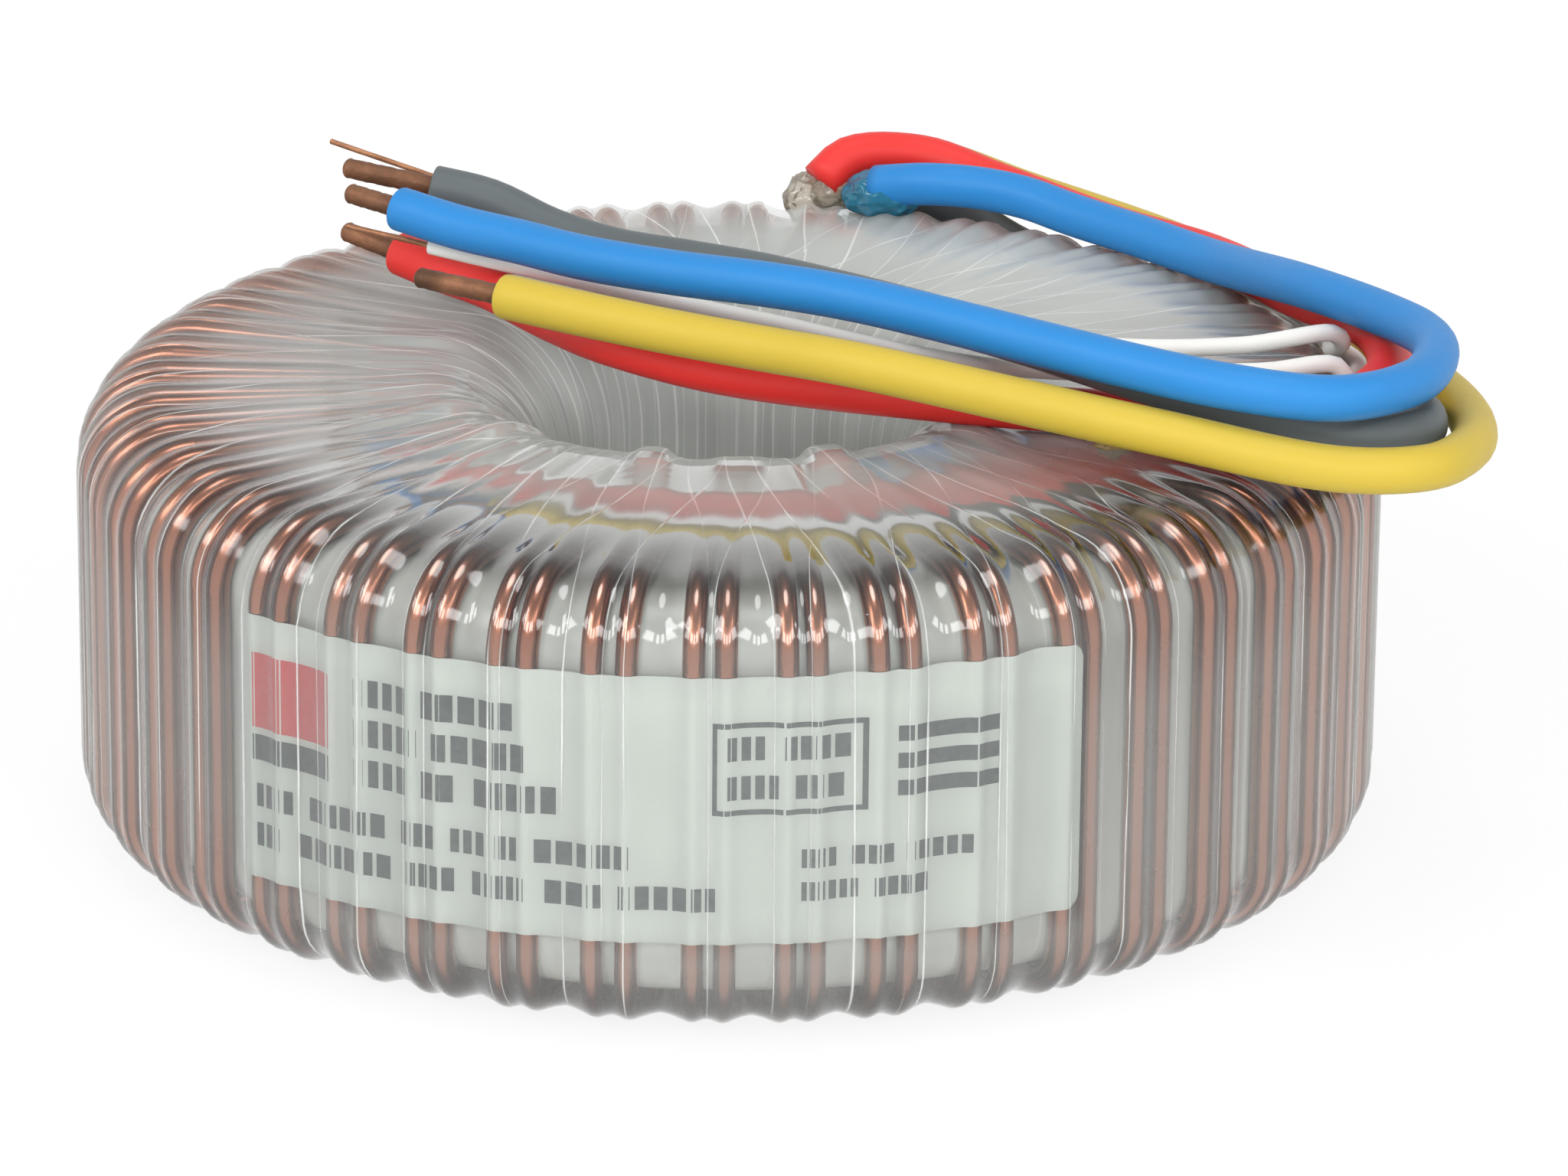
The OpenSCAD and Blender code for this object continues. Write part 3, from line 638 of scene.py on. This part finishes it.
def label_spots(u, v, below):
    """Points of the label at u mm along it and v mm up it, that far under the film's face."""
    u, v = np.broadcast_arrays(np.asarray(u, float), np.asarray(v, float))
    turn = LABEL_TURNS[0] + (LABEL_TURNS[1] - LABEL_TURNS[0]) * u / LABEL_W
    z = LABEL_Z + LABEL_RISE * u / LABEL_W + v
    one = np.ones_like(z)
    sv = STATION_V[8] + (STATION_V[17] - STATION_V[8]) * (z - 6.35) / 24.8
    return film_points(turn, (OUTER_R * one, z, one, 0 * one, one, 0 * one, sv), below)


LABEL_W = math.radians((wall_angle(27, 0) + 0.5 * PAIR) - (wall_angle(17, 1) + 0.63 * (PITCH - PAIR))) * 54.7


def patch(u, v, below, rounded=0.0):
    """A piece of paper or ink on the label's curve; rounded trims its corners."""
    verts = []
    for a in u:
        trim = 0.0
        edge = min(a - u[0], u[-1] - a)
        if edge < rounded:
            trim = rounded - math.sqrt(rounded ** 2 - (rounded - edge) ** 2)
        verts.append(label_spots(a, np.linspace(v[0] + trim, v[1] - trim, v[2]), below))
    verts = np.concatenate(verts)
    faces = [(i * v[2] + j, (i + 1) * v[2] + j, (i + 1) * v[2] + j + 1, i * v[2] + j + 1)
             for i in range(len(u) - 1) for j in range(v[2] - 1)]
    return verts, faces


def label_piece(name, patches, material):
    verts, faces = [], []
    for pv, pf in patches:
        base = sum(len(x) for x in verts)
        verts.append(pv)
        faces += [tuple(base + i for i in f) for f in pf]
    ob = add_mesh(name, np.concatenate(verts), faces, material=material)
    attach(ob, "root")
    return ob


def paper_material():
    n = Nodes("label paper")
    fibre = n.noise(n.coordinates((2500, 2500, 2500)), 1.0, 3.0)
    cloud = n.noise(n.coordinates((150, 150, 150)), 1.0, 3.0)
    c = n.mix(cloud, (0.58, 0.615, 0.575), (0.66, 0.695, 0.655))
    c = n.mix(n.mul(fibre, 0.25), c, (0.58, 0.61, 0.57))
    b = n.add("BsdfPrincipled", {"Base Color": c, "Roughness": 0.7, "Normal": n.bump(fibre, 0.15, 0.0001)})
    return n.finish(b.outputs[0])


def ink_material(name, colour):
    n = Nodes(name)
    worn = n.noise(n.coordinates((1800, 1800, 1800)), 1.0, 3.0)
    c = n.mix(n.mul(worn, 0.22), colour, (0.60, 0.63, 0.60))
    b = n.add("BsdfPrincipled", {"Base Color": c, "Roughness": 0.6})
    return n.finish(b.outputs[0])


def block(u0, u1, v0, v1, below=INK_BELOW):
    n = max(2, int((u1 - u0) / 0.45) + 1)
    return patch(np.linspace(u0, u1, n), (v0, v1, 2 if v1 - v0 < 3 else 4), below)


def word_row(u, v, tall, words):
    """A row of plain blocks that stands for a line of print: words are counts of blocks."""
    made, step = [], tall * 0.78
    for w, count in enumerate(words):
        for k in range(count):
            wide = step * (0.62 + 0.16 * ((3 * k + 5 * w) % 3 - 1))
            made.append(block(u, u + wide, v, v + tall))
            u += wide + step * 0.22
        u += step * 0.75
    return made


def add_label():
    paper = paper_material()
    u = np.linspace(0, LABEL_W, 260)
    ends = LABEL_CORNER * (1 - np.cos(np.linspace(0, math.pi / 2, 8)))
    middle = u[(u > LABEL_CORNER) & (u < LABEL_W - LABEL_CORNER)]
    u = np.unique(np.concatenate([ends, middle, LABEL_W - ends]))
    outline = patch(u, (0, LABEL_H, 9), PAPER_BELOW, LABEL_CORNER)
    sheet = label_piece("label_paper", [outline], paper)
    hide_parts("rating_label")
    grey, red = ink_material("grey ink", (0.045, 0.06, 0.065)), ink_material("red ink", (0.62, 0.06, 0.07))
    rows = []
    rows += word_row(12.5, 17.2, 2.3, [4, 5])
    rows += word_row(12.5, 13.8, 2.3, [5, 5])
    rows += word_row(12.5, 10.4, 2.3, [4, 2, 5])
    rows += word_row(2.2, 6.2, 2.0, [4, 5, 3, 6, 5])
    rows += word_row(2.2, 2.8, 2.0, [3, 6, 4, 5, 3, 6])
    rows += word_row(50.5, 6.4, 1.6, [4, 3, 5])
    rows += word_row(50.5, 3.6, 1.6, [6, 4])
    rows += [block(1.8, 9.6, 10.2, 12.4)]
    frame_u, frame_v, line = (43, 56), (11.0, 18.8), 0.45
    rows += [block(*frame_u, frame_v[0], frame_v[0] + line), block(*frame_u, frame_v[1] - line, frame_v[1]),
             block(frame_u[0], frame_u[0] + line, *frame_v), block(frame_u[1] - line, frame_u[1], *frame_v)]
    rows += word_row(44.4, 15.6, 2.0, [3, 4])
    rows += word_row(44.4, 12.3, 2.0, [4, 3])
    rows += [block(58.6, 66.8, 12.0, 13.3), block(58.6, 66.8, 14.3, 15.6), block(58.6, 66.8, 16.6, 17.9)]
    label_piece("label_grey_print", rows, grey)
    label_piece("label_red_print", [block(1.8, 9.6, 13.0, 19.4)], red)


add_label()


# ---------- glue ----------
def blob(name, centre, size, material, seed, along=(1, 0, 0), torn=0.2):
    """A lump of glue: a ball stretched along a direction and creased by fixed noise."""
    bm = bmesh.new()
    bmesh.ops.create_icosphere(bm, subdivisions=5, radius=1)
    turn = Vector(along).to_track_quat("X", "Z")
    for v in bm.verts:
        k = 1.0
        for rank in (1, 2):
            crease = abs(noise.noise(v.co * 1.3 * rank ** 1.5 + Vector((seed, rank, 0))))
            k += torn / rank * (1 - 2.2 * crease)
        p = turn @ Vector((v.co.x * k * size[0], v.co.y * k * size[1], v.co.z * k * size[2]))
        v.co = (p + Vector(centre)) * MM
    me = bpy.data.meshes.new(name)
    bm.to_mesh(me)
    bm.free()
    me.polygons.foreach_set("use_smooth", [True] * len(me.polygons))
    me.materials.append(material)
    ob = bpy.data.objects.new(name, me)
    bpy.context.collection.objects.link(ob)
    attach(ob, "root")
    return ob


def glue_material(name, colour, clear):
    n = Nodes(name)
    cloud = n.noise(n.coordinates((260, 260, 260)), 1.0, 3.0)
    c = n.mix(cloud, colour, tuple(0.6 * x for x in colour))
    through = n.add("BsdfTransparent", {"Color": (*[0.6 + 0.4 * x for x in colour], 1)}).outputs[0]
    body = n.add("BsdfDiffuse", {"Color": c}).outputs[0]
    share = n.plus(1 - clear, n.mul(n.minus(cloud, 0.5), 0.5), clamp=True)
    mixed = n.add("MixShader", {0: share, 1: through, 2: body}).outputs[0]
    gloss = n.add("BsdfAnisotropic", {"Roughness": 0.06}).outputs[0]
    seen = n.add("Fresnel", {"IOR": 1.5}).outputs[0]
    return n.finish(n.add("MixShader", {0: seen, 1: mixed, 2: gloss}).outputs[0])


amber = glue_material("clear glue", (0.60, 0.54, 0.43), 0.6)
teal = glue_material("blue-green glue", (0.02, 0.22, 0.36), 0.25)
resin = blob("exit_glue", (7.3, 52.2, 37.7), (2.3, 1.8, 2.3), amber, 0.4, along=(1, 0.1, 1.1), torn=0.16)
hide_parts("exit_resin")
blob("exit_glue_red", (9.6, 51.4, 38.9), (2.3, 2.0, 1.6), amber, 3.7, along=(1, 0.4, 0.3), torn=0.12)
blob("exit_glue_blue", (13.4, 47.1, 39.8), (3.4, 2.15, 2.1), teal, 2.1, along=(4.5, -2.5, 0.8), torn=0.12)
blob("glue_drop", (31.6, -19.5, 38.9), (1.5, 1.1, 0.8), glue_material("golden glue", (0.62, 0.42, 0.14), 0.5),
     1.2)


# ---------- floor, world and lamps ----------
def add_stage():
    floor = add_mesh("floor", [(-4, -4, 0), (4, -4, 0), (4, 4, 0), (-4, 4, 0)], [(0, 1, 2, 3)], smooth=False)
    n = Nodes("white floor")
    ray = n.add("LightPath")
    seen = n.math("MAXIMUM", ray.outputs["Is Camera Ray"], n.math("MAXIMUM", ray.outputs["Is Glossy Ray"],
                  ray.outputs["Is Transmission Ray"]))
    glow = n.add("Emission", {"Color": (1, 1, 1, 1), "Strength": 1.0}).outputs[0]
    paint = n.add("BsdfDiffuse", {"Color": (0.85, 0.85, 0.85, 1)}).outputs[0]
    floor.data.materials.append(n.finish(n.add("MixShader", {0: n.mul(seen, 0.86), 1: paint,
                                                           2: glow}).outputs[0]))
    world = bpy.data.worlds.new("studio")
    bpy.context.scene.world = world
    world.use_nodes = True
    t = world.node_tree
    t.nodes.clear()

    def node(kind, inputs=None, **settings):
        n = t.nodes.new("ShaderNode" + kind)
        for k, v in settings.items():
            setattr(n, k, v)
        for k, v in (inputs or {}).items():
            if isinstance(v, bpy.types.NodeSocket):
                t.links.new(v, n.inputs[k])
            else:
                n.inputs[k].default_value = v
        return n

    # a white room: pale to eye height, dark above, a row of windows in front and a panel overhead
    way = node("SeparateXYZ", {0: node("TexCoord").outputs["Generated"]})
    round_ = node("Math", {0: way.outputs[0], 1: way.outputs[1]}, operation="ARCTAN2").outputs[0]
    pane = node("Math", {0: node("Math", {0: round_, 1: 2.39}, operation="MULTIPLY").outputs[0], 1: 0.5},
                operation="PINGPONG").outputs[0]
    pane = node("Math", {0: node("Math", {0: pane, 1: 0.16}, operation="SUBTRACT").outputs[0], 1: 30.0},
                operation="MULTIPLY", use_clamp=True).outputs[0]

    def bands(stops):
        n = node("ValToRGB", {"Fac": way.outputs[2]})
        while len(n.color_ramp.elements) < len(stops):
            n.color_ramp.elements.new(0.5)
        for e, (z, c) in zip(n.color_ramp.elements, stops):
            e.position, e.color = z, (c, c, c, 1)
        return n.outputs["Color"]

    overhead = [(0.90, 0.085), (0.975, 0.10), (0.982, 0.8), (1, 0.8)]
    room = bands([(0, 0.17), (0.30, 0.15), (0.42, 0.085)] + overhead)
    backdrop = bands([(0, 0.17), (0.60, 0.15), (0.75, 0.085)] + overhead)
    row = bands([(0.47, 0.0), (0.49, 0.9), (0.64, 0.9), (0.66, 0.0)])
    front = node("Math", {0: way.outputs[1], 1: -5.0}, operation="MULTIPLY", use_clamp=True).outputs[0]
    room = node("Mix", {0: front, 2: backdrop, 3: room}).outputs[0]
    pane = node("Math", {0: pane, 1: front}, operation="MULTIPLY").outputs[0]
    light = node("Math", {0: row, 1: pane}, operation="MULTIPLY").outputs[0]
    light = node("Math", {0: node("Math", {0: light, 1: room}, operation="ADD").outputs[0], 1: 6.0},
                 operation="MULTIPLY").outputs[0]
    power = node("Mix", {0: node("LightPath").outputs["Is Camera Ray"], 2: light, 3: 1.0}).outputs[0]
    back = node("Background", {"Color": (1, 1, 1, 1), "Strength": power})
    t.links.new(back.outputs[0], node("OutputWorld").inputs["Surface"])


def add_lamp(name, spot, aim, size, power, mirrored=True):
    lamp = bpy.data.lights.new(name, "AREA")
    lamp.shape = "RECTANGLE"
    lamp.size, lamp.size_y = size
    lamp.energy = power
    ob = bpy.data.objects.new(name, lamp)
    bpy.context.collection.objects.link(ob)
    ob.location = spot
    ob.rotation_euler = (Vector(aim) - Vector(spot)).to_track_quat("-Z", "Y").to_euler()
    ob.visible_glossy = mirrored


add_stage()
add_lamp("left softbox", (-0.60, -0.50, 0.80), (0, 0, 0.02), (0.30, 0.30), 1.5)
add_lamp("front softbox", (0.0, -1.1, 0.45), (0, 0, 0.02), (0.90, 0.50), 6.0, False)

view = bpy.context.scene.view_settings
view.view_transform = "Standard"
